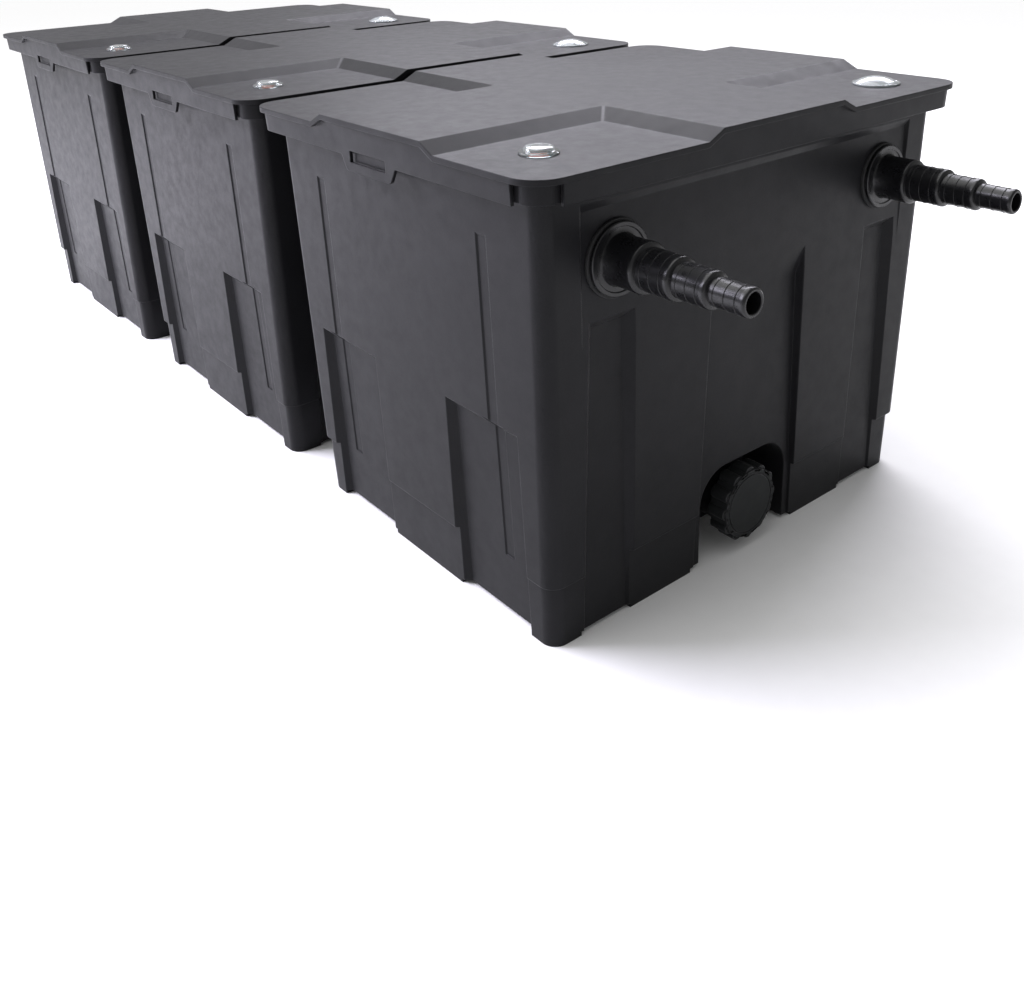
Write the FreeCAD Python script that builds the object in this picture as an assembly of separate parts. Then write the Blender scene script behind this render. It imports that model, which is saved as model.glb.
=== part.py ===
import FreeCAD, Part
import math
import os

# Three-chamber flow-through pond filter: three equal box tanks in a row along X,
# each with a lift-off lid, linked by short pipes.  Pond water enters through two
# stepped hose tails at the +X end and leaves through one at the -X end.
# Millimetres, +Z up, origin under the middle of the whole outline.

V = FreeCAD.Vector
X_AXIS = V(1, 0, 0)
Z_AXIS = V(0, 0, 1)

# ---- driving dimensions -------------------------------------------------------
LID_X = 446.0                 # lid, along the row
LID_Y = 560.0                 # lid, across the row
PITCH = 463.0                 # tank to tank
MODULES = (1, 2, 3)           # 1 is the inlet end
LID_TOP = 426.0               # low corner fields of the lid
PLATEAU_RISE = 9.0            # raised cross above the corner fields
SKIRT_BOTTOM = 402.0
LID_SKIN = 3.0
LID_CORNER = 28.0
WALL = 3.5                    # tank wall
TANK_CORNER = 15.0
FLOOR_TOP = 8.0               # inside floor of the tank
FOOT_RISE = 4.0               # bottom plate above the feet
PLINTH_TOP = 62.0
CLEAR = 0.4                   # gap between pieces that move on each other

# distance of the tank wall inside the lid's edge, by height
WALL_INSET_TOP = 20.0         # at SKIRT_BOTTOM
WALL_INSET_LOW = 29.5         # just above the plinth
PLINTH_INSET_HIGH = 32.7
PLINTH_INSET_LOW = 34.8       # at the floor
WALL_DRAFT = (WALL_INSET_LOW - WALL_INSET_TOP) / (SKIRT_BOTTOM - PLINTH_TOP)
CAVITY_INSET_LOW = 38.5       # at the inside floor
CAVITY_DRAFT = (CAVITY_INSET_LOW - WALL_INSET_TOP - WALL) / (SKIRT_BOTTOM - FLOOR_TOP)

# lid
CROSS_HALF_TOP = 80.0         # half width of the cross's arms on top
CROSS_HALF_LOW = 98.0         # and at the foot of their ramps
CROSS_INNER_R = 12.0          # rounding where two arms meet
CUT_ABOVE = 4.0               # how far the cutters stand above the plateau
LIP_DEEP = 5.0
SKIRT_INSET_BOTTOM = 5.6
SKIRT_INSET_TOP = 3.8
NOTCH_ALONG = 34.0            # skirt cut away at one corner, along the side
NOTCH_ACROSS = 32.0           # and along the front
TAB_X = -11.0                 # latch tabs sit a little behind the middle
TAB_HALF_TOP = 45.0
TAB_HALF_BOTTOM = 36.0
TAB_BOTTOM = 388.0
TAB_CORNER = 6.0
TAB_ROOT = 1.5                # overlap of a tab with the skirt
TAB_WINDOW_HALF = 29.0
TAB_WINDOW_LOW = 396.5
TAB_WINDOW_HIGH = 407.0
CATCH_SIDE = 3.0              # catch to window, on both sides
CATCH_BELOW = 0.5
CATCH_ABOVE = 1.0

# rim of the tank, under the lid
RIM_INSET = 9.5
RIM_THICK = 3.0
RIM_BOTTOM = 404.0
RIM_TOP = LID_TOP - LID_SKIN - 0.2
BOSS_INSET = 8.8
BOSS_GAP = 6.0                # between the boss and the ends of the notch
BOSS_DROP = 3.0               # boss below the rim's top

# domes on the lid, over its two front corners
WINDOW_AT = (167.0, 212.0)    # large shallow window
WINDOW_FLANGE_R = 23.5
WINDOW_STEM_R = 20.5
WINDOW_RISE = 8.0
COVER_AT = (152.0, -216.0)    # small indicator cover
COVER_FLANGE_R = 16.5
COVER_STEM_R = 12.4
COVER_RISE = 6.5
COVER_CROWN = 2.0             # rise of its slightly crowned top
DOME_SKIN = 1.6
FLANGE = 2.2
NUT_THICK = 6.0
NUT_RING = 5.0                # radial thickness of the ring nuts
STEM_BOTTOM = LID_TOP - LID_SKIN - NUT_THICK - 2.0
STOP_THICK = 2.0
STOP_HOLE_R = 3.5
BUTTON_R = 8.0
BUTTON_TOP = 426.0
FLOAT_STEM_R = 2.5
BOB_R = 15.0
BOB_BOTTOM = 370.0
BOB_TOP = 395.0

# recessed panels of the walls
SIDE_PANEL = (65.5, 153.0, 190.0)     # inner edge, outer edge, top of the back plane
END_PANEL = (166.0, 201.0, 287.0)
END_SPLAY = 8.0                       # how much wider each side gets down to the floor
CENTRE_HALF = 63.0
CENTRE_TOP = 268.0
CENTRE_RAMP = 3.4                     # rise of its top ramp per depth
CENTRE_FLANK = 0.2                    # run of its sides per depth
POCKET_HALF = 216.5
POCKET_TOP = 387.5
POCKET_BOTTOM = 262.0
POCKET_INSET = 23.6                   # upright flat for the pipe fittings
POCKET_RAMP = 2.0
PANEL_INSET_LOW = 36.5                # back planes of the end walls, at the floor
END_PANEL_INSET = 31.5                # and at their tops
CENTRE_INSET = 32.5
SIDE_PANEL_INSET_LOW = 41.0           # side panel back plane, at the floor
SIDE_PANEL_INSET = 33.0               # and at its top
CUT_OUT = 25.0                        # how far the cutters stand outside the wall

# feet: where the bottom plate comes down to the ground
FOOT_DEEP = 50.0                      # reach of the middle feet in from the lid's edge
FOOT_SIDE = 9.0                       # side foot to the panels' inner edges
FOOT_CORNER = 5.0                     # corner foot to a side panel's outer edge
FOOT_END = 4.0                        # end feet to the recesses beside them

# grooves outside and baffle guides inside
GUIDE_X = 128.0
GROOVE_HALF = 5.5
GROOVE_DEEP = 1.3
GROOVE_TOP = 362.0
GROOVE_RAMP = 2.0
PANEL_GROOVE_DEEP = 1.0               # where it crosses a side panel
BAFFLE_THICK = 4.0
GUIDE_HEIGHT = 362.0
GUIDE_Y_LOW = 229.0
GUIDE_Y_HIGH = 242.0
GUIDE_LIP = 4.0                       # thickness of each guide rib
GUIDE_SLOT_HALF = 2.5
GUIDE_ENGAGE = 4.0                    # baffle edge inside the slot

# drain
ARCH_HALF = 62.0
ARCH_TOP = 97.0
ARCH_RADIUS = 34.0
ARCH_INSET = 88.0                     # rear wall of the arch
DRAIN_Z = 48.0
SPOUT_R = 29.0
SPOUT_BORE_R = 24.0
SPOUT_FLANGE = 4.0                    # thickness inside the arch's wall
SPOUT_FLANGE_R = 36.0
CAP_FACE_INSET = 26.0
CAP_LENGTH = 21.0
CAP_PLATE = 4.0
CAP_R = 35.0
CAP_LOBES = 12
LOBE_R = 6.5
LOBE_CENTRE_R = 32.2
LOBE_SHORT = 1.5                      # lobes stop short of the face
FACE_RING = (29.5, 31.0)              # radii of the fine groove in the face
FACE_RING_DEEP = 1.0
SEAL_THICK = 2.5

# pipe fittings
PIPE_Z = 343.0
INLET_Y = 180.0
TAIL_FLANGE_R = 31.0
TAIL_FLANGE = 5.0
GASKET = 3.0
GASKET_R = 33.0
TAIL_THREAD_R = 20.5
TAIL_STEPS = ((21.0, 30.0), (17.5, 34.0), (14.5, 33.0), (11.25, 34.0))
TAIL_BORE_R = 8.2
OUTLET_FLANGE_R = 42.0
OUTLET_THREAD_R = 28.5
OUTLET_STEPS = ((30.0, 45.0), (25.0, 45.0))
OUTLET_BORE_R = 21.5
NUT_LENGTH = 10.0
TAIL_NUT_FLATS = 54.0
OUTLET_NUT_FLATS = 72.0
TAIL_THREAD = 20.0                    # threaded length behind the flange
STEP_CHAMFER = (1.2, 1.0)             # along and across, at each step's free end
OUTLET_GASKET_R = 43.5
LINK_R = 37.5
LINK_WALL = 3.0
LINK_REACH = 22.0                     # pipe end inside each tank
SEAL_NECK = 3.0
SEAL_FLANGE = 6.5
SLIP = 0.15                           # pipe to seal, thread to hole

# inside the tanks
GRID_HALF_X = 121.0
GRID_HALF_Y = 232.0
GRID_TOP = 96.0
GRID_THICK = 6.0
GRID_ROW = 76.0                       # pitch of the rows of slots
GRID_SLOT = (31.0, 9.0)               # half length and half width of a slot
GRID_SLOT_PITCH = 28
GRID_SLOT_SPAN = 210
LEG_R = 9.0
LEG_X = 100.0
LEG_EDGE = 25.0                       # leg to the shelf's edge
LIFT = 0.2                            # clearance of pieces that stand on the floor
FOAM_THICK = 60.0
FOAM_SLABS = (1, 2, 3, 4)
UNDERFLOW = 105.0                     # lower edge of the front baffle
OVERFLOW = 345.0                      # upper edge of the rear baffle
SPLASH = 10.0                         # front baffle above the overflow
WEIR_HALF = 15                        # overflow slots
WEIR_DEEP = 25.0
WEIR_PITCH = 50
WEIR_SPAN = 200

HALF_X = LID_X / 2
HALF_Y = LID_Y / 2
TAIL_FACE = HALF_X - POCKET_INSET + GASKET + TAIL_FLANGE
INLET_REACH = TAIL_FACE + sum(length for _, length in TAIL_STEPS)
OUTLET_REACH = TAIL_FACE + sum(length for _, length in OUTLET_STEPS)
MIDDLE_X = (OUTLET_REACH - INLET_REACH) / 2
SCOOP = 400.0                         # longer than any piece, for open-ended cuts


# ---- helpers ------------------------------------------------------------------
def centre_x(k):
    """X of tank k; tank 1 stands at the inlet end."""
    return MIDDLE_X + (2 - k) * PITCH


def box(x0, x1, y0, y1, z0, z1):
    return Part.makeBox(x1 - x0, y1 - y0, z1 - z0, V(x0, y0, z0))


def rod(radius, start, length, axis=X_AXIS):
    return Part.makeCylinder(radius, length, start, axis)


def rounded_outline(inset, radius, z):
    """Rounded rectangle, inset from the lid's edge, as a closed wire at height z."""
    hx, hy = HALF_X - inset, HALF_Y - inset
    wire = Part.makePolygon([V(-hx, -hy, z), V(hx, -hy, z), V(hx, hy, z), V(-hx, hy, z),
                             V(-hx, -hy, z)])
    corners = Part.Face(wire).extrude(V(0, 0, 1))
    upright = [e for e in corners.Edges if abs(e.Vertexes[0].Z - e.Vertexes[1].Z) > 0.5]
    solid = corners.makeFillet(radius, upright)
    face = min(solid.Faces, key=lambda f: f.CenterOfMass.z)
    return face.OuterWire


def tapered_block(inset0, z0, inset1, z1, radius):
    """Block with upright rounded corners whose walls lean from one inset to another."""
    lower = rounded_outline(inset0, radius, z0)
    upper = rounded_outline(inset1, radius, z1)
    return Part.makeLoft([lower, upper], True, True)


def hexahedron(back, front):
    """Closed solid between two quadrilaterals given in the same order."""
    faces = [Part.Face(Part.makePolygon(quad + [quad[0]])) for quad in (back, front)]
    for i in range(4):
        j = (i + 1) % 4
        side = [back[i], back[j], front[j], front[i], back[i]]
        faces.append(Part.Face(Part.makePolygon(side)))
    solid = Part.makeSolid(Part.makeShell(faces))
    if solid.Volume < 0:
        solid.reverse()
    return solid


def on_wall(wall, s, inset, z):
    """Point on a wall: s runs along it and inset goes in from the lid's edge."""
    if wall == "front":
        return V(HALF_X - inset, s, z)
    if wall == "rear":
        return V(-HALF_X + inset, s, z)
    if wall == "left":
        return V(s, -HALF_Y + inset, z)
    return V(s, HALF_Y - inset, z)


def recess(wall, s0, s1, z0, z1, inset0, inset1, ramp=1.0, flank=1.0, splay=0.0, grow=0.0):
    """Cutter for a recess with sloped sides and a sloped top edge.

    Its back plane runs from inset0 at z0 to inset1 at z1, and is wider by splay on
    each side at z0.  Per unit of depth the top edge rises by ramp and the sides open
    by flank.  With grow it is the same recess seen from inside, one wall thickness
    larger."""
    widen = grow * (math.hypot(1, flank) - flank)
    slope = (inset1 - inset0) / (z1 - z0)
    lean = splay / (z1 - z0)
    depth = CUT_OUT + grow
    top = z1 + grow * (math.hypot(1, ramp) - ramp)

    def corner(side, z, out):
        s = (s0, s1)[side] + (2 * side - 1) * (widen + flank * out + lean * (z1 - z))
        return on_wall(wall, s, inset0 + grow + slope * (z - z0) - out, z)

    high = top + depth * ramp
    back = [corner(0, z0, 0), corner(1, z0, 0), corner(1, top, 0), corner(0, top, 0)]
    front = [corner(0, z0, depth), corner(1, z0, depth),
             corner(1, high, depth), corner(0, high, depth)]
    return hexahedron(back, front)


def arch(half, top, radius, x0, x1):
    """Round-cornered arch, open below, between two upright planes."""
    block = box(x0, x1, -half, half, -FLOOR_TOP, top)
    edges = [e for e in block.Edges if abs(e.CenterOfMass.z - top) < 0.1
             and abs(abs(e.CenterOfMass.y) - half) < 0.1]
    return block.makeFillet(radius, edges)


def turned(profile, origin, along):
    """Solid of revolution: profile holds (distance along the axis, radius) pairs."""
    points = [V(a, r, 0) for a, r in profile]
    face = Part.Face(Part.makePolygon(points + [points[0]]))
    solid = face.revolve(V(0, 0, 0), X_AXIS, 360)
    if solid.Volume < 0:
        solid.reverse()
    turn = FreeCAD.Rotation(X_AXIS, along)
    solid.Placement = FreeCAD.Placement(origin, turn)
    return solid


def hexagon(across_flats, x0, x1, y, z):
    """Hexagonal bar along X."""
    r = across_flats / math.sqrt(3)
    angles = [math.radians(60 * i) for i in range(7)]
    ring = [V(x0, y + r * math.cos(a), z + r * math.sin(a)) for a in angles]
    return Part.Face(Part.makePolygon(ring)).extrude(V(x1 - x0, 0, 0))


def save(name, shapes, dx=0.0):
    """Write one node, moved along the row by dx."""
    shapes = shapes if isinstance(shapes, list) else [shapes]
    moved = []
    for shape in shapes:
        copy = shape.copy()
        copy.translate(V(dx, 0, 0))
        moved.append(copy)
    result = moved[0] if len(moved) == 1 else Part.makeCompound(moved)
    if not result.isValid():
        raise ValueError(name + " is not a valid shape")
    result.exportStep(os.path.join("parts", name + ".step"))


# ---- tank ---------------------------------------------------------------------
def side_panel_inset(z):
    """Inset of the side panels' back plane at height z."""
    share = (z + FLOOR_TOP) / (SIDE_PANEL[2] + FLOOR_TOP)
    return SIDE_PANEL_INSET_LOW + share * (SIDE_PANEL_INSET - SIDE_PANEL_INSET_LOW)


def wall_recesses(grow=0.0):
    """All recesses pressed into the four walls."""
    cutters = []
    bottom = -FLOOR_TOP
    inner, outer, top = SIDE_PANEL
    for wall in ("left", "right"):
        for sign in (-1, 1):
            s0, s1 = sorted((sign * inner, sign * outer))
            cutters.append(recess(wall, s0, s1, bottom, top,
                                  SIDE_PANEL_INSET_LOW, SIDE_PANEL_INSET, grow=grow))
    inner, outer, top = END_PANEL
    for wall in ("front", "rear"):
        for sign in (-1, 1):
            s0, s1 = sorted((sign * inner, sign * outer))
            cutters.append(recess(wall, s0, s1, bottom, top,
                                  PANEL_INSET_LOW, END_PANEL_INSET, splay=END_SPLAY,
                                  grow=grow))
        cutters.append(recess(wall, -CENTRE_HALF, CENTRE_HALF, bottom, CENTRE_TOP,
                              PANEL_INSET_LOW, CENTRE_INSET, ramp=CENTRE_RAMP,
                              flank=CENTRE_FLANK, splay=END_SPLAY, grow=grow))
        cutters.append(recess(wall, -POCKET_HALF, POCKET_HALF, POCKET_BOTTOM, POCKET_TOP,
                              POCKET_INSET, POCKET_INSET, ramp=POCKET_RAMP, grow=grow))
    return cutters


def outer_grooves():
    """Shallow upright grooves outside, where the baffle guides are inside."""
    cutters = []
    for wall in ("left", "right"):
        for sign in (-1, 1):
            s0, s1 = sign * GUIDE_X - GROOVE_HALF, sign * GUIDE_X + GROOVE_HALF
            top_inset = WALL_INSET_TOP + GROOVE_DEEP + WALL_DRAFT * (SKIRT_BOTTOM - GROOVE_TOP)
            low_inset = WALL_INSET_LOW + GROOVE_DEEP
            upper = recess(wall, s0, s1, PLINTH_TOP, GROOVE_TOP, low_inset, top_inset,
                           ramp=GROOVE_RAMP)
            lower = recess(wall, s0, s1, PLINTH_TOP, SIDE_PANEL[2],
                           side_panel_inset(PLINTH_TOP) + PANEL_GROOVE_DEEP,
                           SIDE_PANEL_INSET + PANEL_GROOVE_DEEP)
            cutters += [upper, lower]
    return cutters


def baffle_guides(outside):
    """Pairs of upright ribs on the side walls that hold the baffle plates."""
    ribs = []
    for sign_y in (-1, 1):
        for x in (-GUIDE_X, GUIDE_X):
            for side in (-1, 1):
                x0, x1 = sorted((x + side * GUIDE_SLOT_HALF,
                                 x + side * (GUIDE_SLOT_HALF + GUIDE_LIP)))
                quads = []
                for z, y_in in ((FLOOR_TOP - 1, GUIDE_Y_LOW), (GUIDE_HEIGHT, GUIDE_Y_HIGH)):
                    quads.append([V(x0, sign_y * y_in, z), V(x1, sign_y * y_in, z),
                                  V(x1, sign_y * HALF_Y, z), V(x0, sign_y * HALF_Y, z)])
                ribs.append(hexahedron(quads[0], quads[1]).common(outside))
    return ribs


def bottom_relief():
    """The layer taken off the bottom everywhere but at the feet."""
    layer = box(-HALF_X, HALF_X, -HALF_Y, HALF_Y, -1, FOOT_RISE)
    side_outer = SIDE_PANEL[1] + FOOT_CORNER
    end_outer = END_PANEL[1] + END_SPLAY + FOOT_END
    side_half = SIDE_PANEL[0] - FOOT_SIDE
    feet = [box(-side_half, side_half, sign * HALF_Y - FOOT_DEEP, sign * HALF_Y + FOOT_DEEP,
                -2, FOOT_RISE + 1) for sign in (-1, 1)]
    for sx in (-1, 1):
        for sy in (-1, 1):
            x0, x1 = sorted((sx * side_outer, sx * HALF_X))
            y0, y1 = sorted((sy * end_outer, sy * HALF_Y))
            feet.append(box(x0, x1, y0, y1, -2, FOOT_RISE + 1))
            x0, x1 = sorted((sx * (HALF_X - FOOT_DEEP), sx * HALF_X))
            y0, y1 = sorted((sy * (CENTRE_HALF + END_SPLAY + FOOT_END),
                             sy * (END_PANEL[0] - END_SPLAY - FOOT_END)))
            feet.append(box(x0, x1, y0, y1, -2, FOOT_RISE + 1))
    return layer.cut(feet)


def rim():
    """Flange round the mouth with a down-turned edge, one corner boss and two catches."""
    ring = tapered_block(RIM_INSET, RIM_BOTTOM, RIM_INSET, RIM_TOP, LID_CORNER - RIM_INSET)
    hollow = tapered_block(RIM_INSET + RIM_THICK, RIM_BOTTOM - 1, RIM_INSET + RIM_THICK,
                           RIM_TOP - RIM_THICK, LID_CORNER - RIM_INSET - RIM_THICK)
    ring = ring.cut(hollow)
    boss = tapered_block(BOSS_INSET, RIM_BOTTOM, BOSS_INSET, RIM_TOP - BOSS_DROP,
                         LID_CORNER - BOSS_INSET)
    corner = box(HALF_X - NOTCH_ALONG + BOSS_GAP, HALF_X,
                 -HALF_Y, -HALF_Y + NOTCH_ACROSS - BOSS_GAP, RIM_BOTTOM - 1, RIM_TOP)
    pieces = [boss.common(corner)]
    catch_y = HALF_Y - SKIRT_INSET_BOTTOM - LID_SKIN - CLEAR
    wall_y = HALF_Y - WALL_INSET_TOP - 1
    for sign in (-1, 1):
        y0, y1 = sorted((sign * wall_y, sign * catch_y))
        pieces.append(box(TAB_X - TAB_WINDOW_HALF + CATCH_SIDE,
                          TAB_X + TAB_WINDOW_HALF - CATCH_SIDE, y0, y1,
                          TAB_WINDOW_LOW + CATCH_BELOW, TAB_WINDOW_HIGH - CATCH_ABOVE))
    return ring.fuse(pieces)


def tank_blank():
    """Tank moulding with no pipe holes."""
    rim_inset = WALL_INSET_TOP - WALL_DRAFT * (RIM_TOP - SKIRT_BOTTOM)
    body = tapered_block(WALL_INSET_LOW, PLINTH_TOP, rim_inset, RIM_TOP, TANK_CORNER)
    plinth = tapered_block(PLINTH_INSET_LOW, 0, PLINTH_INSET_HIGH, PLINTH_TOP, TANK_CORNER)
    arch_front = HALF_X + CUT_OUT
    arch_rear = HALF_X - ARCH_INSET
    outside = body.fuse(plinth)
    outside = outside.cut(wall_recesses() + outer_grooves())
    outside = outside.cut(arch(ARCH_HALF, ARCH_TOP, ARCH_RADIUS, arch_rear, arch_front))
    outside = outside.cut(bottom_relief())
    mouth = WALL_INSET_TOP + WALL - CAVITY_DRAFT * (RIM_TOP + 5 - SKIRT_BOTTOM)
    cavity = tapered_block(CAVITY_INSET_LOW, FLOOR_TOP, mouth, RIM_TOP + 5, TANK_CORNER - 2)
    cavity = cavity.cut(wall_recesses(grow=WALL))
    cavity = cavity.cut(arch(ARCH_HALF + WALL, ARCH_TOP + WALL, ARCH_RADIUS + WALL,
                             arch_rear - WALL, arch_front))
    tank = outside.fuse(rim()).cut(cavity)
    tank = tank.fuse(baffle_guides(outside))
    drain = rod(SPOUT_R + SLIP, V(arch_rear - 3 * WALL, 0, DRAIN_Z), 5 * WALL)
    return tank.cut(drain).removeSplitter()


def tank(k, blank):
    """Tank k: the same moulding, drilled for its own pipes."""
    holes = []
    reach = 12.0
    front = HALF_X - POCKET_INSET - reach
    if k == MODULES[0]:
        for sign in (-1, 1):
            holes.append(rod(TAIL_THREAD_R + SLIP, V(front, sign * INLET_Y, PIPE_Z), 2 * reach))
    else:
        holes.append(rod(LINK_R + SEAL_NECK + SLIP, V(front, 0, PIPE_Z), 2 * reach))
    rear_r = LINK_R + SEAL_NECK if k != MODULES[-1] else OUTLET_THREAD_R
    holes.append(rod(rear_r + SLIP, V(-front - 2 * reach, 0, PIPE_Z), 2 * reach))
    return blank.cut(holes)


# ---- lid ----------------------------------------------------------------------
def cross_block(drop, inset):
    """Everything under the lid's stepped top surface, lowered by drop."""
    plateau = LID_TOP + PLATEAU_RISE
    block = tapered_block(inset, TAB_BOTTOM, inset, plateau, LID_CORNER - inset)
    extra = (CROSS_HALF_LOW - CROSS_HALF_TOP) / PLATEAU_RISE * CUT_ABOVE
    cutters = []
    for sx in (-1, 1):
        for sy in (-1, 1):
            quads = []
            for half, z in ((CROSS_HALF_LOW, LID_TOP),
                            (CROSS_HALF_TOP - extra, plateau + CUT_ABOVE)):
                far_x, far_y = sx * (HALF_X + 10), sy * (HALF_Y + 10)
                quads.append([V(sx * half, sy * half, z), V(far_x, sy * half, z),
                              V(far_x, far_y, z), V(sx * half, far_y, z)])
            cutter = hexahedron(quads[0], quads[1])
            middle = V(0, 0, LID_TOP)
            inner = min(cutter.Edges, key=lambda e: e.CenterOfMass.distanceToPoint(middle))
            cutters.append(cutter.makeFillet(CROSS_INNER_R, [inner]))
    block = block.cut(cutters)
    block.translate(V(0, 0, -drop))
    return block


def latch_tab(sign):
    """Side tab below the skirt, with rounded lower corners."""
    y0 = sign * (HALF_Y - SKIRT_INSET_BOTTOM)
    y1 = sign * (HALF_Y - SKIRT_INSET_BOTTOM - LID_SKIN)
    top = SKIRT_BOTTOM + TAB_ROOT
    quads = []
    for y in (y0, y1):
        quads.append([V(TAB_X - TAB_HALF_BOTTOM, y, TAB_BOTTOM),
                      V(TAB_X + TAB_HALF_BOTTOM, y, TAB_BOTTOM),
                      V(TAB_X + TAB_HALF_TOP, y, top), V(TAB_X - TAB_HALF_TOP, y, top)])
    tab = hexahedron(quads[0], quads[1])
    low = [e for e in tab.Edges if abs(e.CenterOfMass.z - TAB_BOTTOM) < 0.1
           and abs(e.CenterOfMass.x - TAB_X) > TAB_HALF_BOTTOM / 2]
    return tab.makeFillet(TAB_CORNER, low)


def lid():
    """Tray-shaped lid with a raised cross, an overhanging lip and two latch tabs."""
    plateau = LID_TOP + PLATEAU_RISE
    full = cross_block(0, 0)
    lip = full.cut(cross_block(LIP_DEEP, -1))
    skirt = tapered_block(SKIRT_INSET_BOTTOM, SKIRT_BOTTOM, SKIRT_INSET_TOP, plateau,
                          LID_CORNER - SKIRT_INSET_BOTTOM)
    hollow = tapered_block(SKIRT_INSET_BOTTOM + LID_SKIN, SKIRT_BOTTOM,
                           SKIRT_INSET_TOP + LID_SKIN, plateau,
                           LID_CORNER - SKIRT_INSET_BOTTOM - LID_SKIN)
    hollow = hollow.common(cross_block(LID_SKIN, 0))
    shell = lip.fuse(skirt.common(full)).cut(hollow)
    shell = shell.fuse([latch_tab(-1), latch_tab(1)])
    windows = box(TAB_X - TAB_WINDOW_HALF, TAB_X + TAB_WINDOW_HALF, -HALF_Y, HALF_Y,
                  TAB_WINDOW_LOW, TAB_WINDOW_HIGH)
    notch = box(HALF_X - NOTCH_ALONG, HALF_X + 1, -HALF_Y - 1, -HALF_Y + NOTCH_ACROSS,
                SKIRT_BOTTOM - 1, LID_TOP - LIP_DEEP)
    holes = [rod(WINDOW_STEM_R + SLIP, V(*WINDOW_AT, SKIRT_BOTTOM), 40, Z_AXIS),
             rod(COVER_STEM_R + SLIP, V(*COVER_AT, SKIRT_BOTTOM), 40, Z_AXIS)]
    return shell.cut([windows, notch] + holes).removeSplitter()


def dome(stem_r, flange_r, straight, rise, x, y):
    """Clear dome with a flange that rests on the lid and a stem below it."""
    outer = rod(stem_r, V(x, y, STEM_BOTTOM), LID_TOP + straight - STEM_BOTTOM, Z_AXIS)
    inner = rod(stem_r - DOME_SKIN, V(x, y, STEM_BOTTOM - 1),
                LID_TOP + straight - STEM_BOTTOM + 1, Z_AXIS)
    shells = []
    for skin, tube in ((0, outer), (DOME_SKIN, inner)):
        r = stem_r - skin
        h = rise - straight - skin
        ball_r = (r * r + h * h) / (2 * h)
        ball = Part.makeSphere(ball_r, V(x, y, LID_TOP + straight + h - ball_r))
        above = rod(ball_r + 1, V(x, y, LID_TOP + straight), ball_r + rise, Z_AXIS)
        shells.append(tube.fuse(ball.common(above)))
    flange = rod(flange_r, V(x, y, LID_TOP), FLANGE, Z_AXIS)
    return shells[0].fuse(flange).cut(shells[1]).removeSplitter()


def indicator_cover():
    """Low clear cap with a stop ring that the indicator rests on."""
    cover = dome(COVER_STEM_R, COVER_FLANGE_R, COVER_RISE - COVER_CROWN, COVER_RISE, *COVER_AT)
    low = V(*COVER_AT, STEM_BOTTOM)
    stop = rod(COVER_STEM_R - DOME_SKIN / 2, low, STOP_THICK, Z_AXIS)
    stop = stop.cut(rod(STOP_HOLE_R, low, STOP_THICK, Z_AXIS))
    return cover.fuse(stop).removeSplitter()


def dome_nuts():
    """Ring nuts that hold both domes from below the lid."""
    nuts = []
    for stem_r, at in ((WINDOW_STEM_R, WINDOW_AT), (COVER_STEM_R, COVER_AT)):
        low = V(*at, LID_TOP - LID_SKIN - NUT_THICK)
        ring = rod(stem_r + NUT_RING, low, NUT_THICK, Z_AXIS)
        nuts.append(ring.cut(rod(stem_r + SLIP, low, NUT_THICK, Z_AXIS)))
    return nuts


def indicator_float():
    """Float with a thin stem and a button that rises inside the clear cover."""
    button_low = STEM_BOTTOM + STOP_THICK + CLEAR
    button = rod(BUTTON_R, V(*COVER_AT, button_low), BUTTON_TOP - button_low, Z_AXIS)
    stem = rod(FLOAT_STEM_R, V(*COVER_AT, BOB_TOP - 1), button_low - BOB_TOP + 2, Z_AXIS)
    bob = rod(BOB_R, V(*COVER_AT, BOB_BOTTOM), BOB_TOP - BOB_BOTTOM, Z_AXIS)
    return button.fuse([stem, bob]).removeSplitter()


# ---- inside the tank ------------------------------------------------------------
def baffle(x, z0, z1):
    """Plate that slides down between the guide ribs."""
    lean = (GUIDE_Y_HIGH - GUIDE_Y_LOW) / (GUIDE_HEIGHT - FLOOR_TOP + 1)
    quads = []
    for px in (x - BAFFLE_THICK / 2, x + BAFFLE_THICK / 2):
        low = GUIDE_Y_LOW + lean * (z0 - FLOOR_TOP) + GUIDE_ENGAGE
        high = GUIDE_Y_LOW + lean * (z1 - FLOOR_TOP) + GUIDE_ENGAGE
        quads.append([V(px, -low, z0), V(px, low, z0), V(px, high, z1), V(px, -high, z1)])
    return hexahedron(quads[0], quads[1])


def rear_baffle():
    """Overflow plate with a row of weir slots along its upper edge."""
    plate = baffle(-GUIDE_X, FLOOR_TOP + LIFT, OVERFLOW)
    slots = [box(-GUIDE_X - BAFFLE_THICK, -GUIDE_X + BAFFLE_THICK, y - WEIR_HALF, y + WEIR_HALF,
                 OVERFLOW - WEIR_DEEP, OVERFLOW + 1)
             for y in range(-WEIR_SPAN, WEIR_SPAN + 1, WEIR_PITCH)]
    return plate.cut(slots)


def foam_grid():
    """Slotted shelf on six legs that carries the foam slabs."""
    plate = box(-GRID_HALF_X, GRID_HALF_X, -GRID_HALF_Y, GRID_HALF_Y,
                GRID_TOP - GRID_THICK, GRID_TOP)
    slots = []
    length, width = GRID_SLOT
    for x in (-GRID_ROW, 0.0, GRID_ROW):
        for y in range(-GRID_SLOT_SPAN, GRID_SLOT_SPAN + 1, GRID_SLOT_PITCH):
            slots.append(box(x - length, x + length, y - width, y + width, 0, GRID_TOP + 1))
    legs = []
    for x in (-LEG_X, LEG_X):
        for y in (-GRID_HALF_Y + LEG_EDGE, 0.0, GRID_HALF_Y - LEG_EDGE):
            legs.append(rod(LEG_R, V(x, y, FLOOR_TOP + LIFT), GRID_TOP - FLOOR_TOP - 1, Z_AXIS))
    return plate.cut(slots).fuse(legs).removeSplitter()


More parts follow.
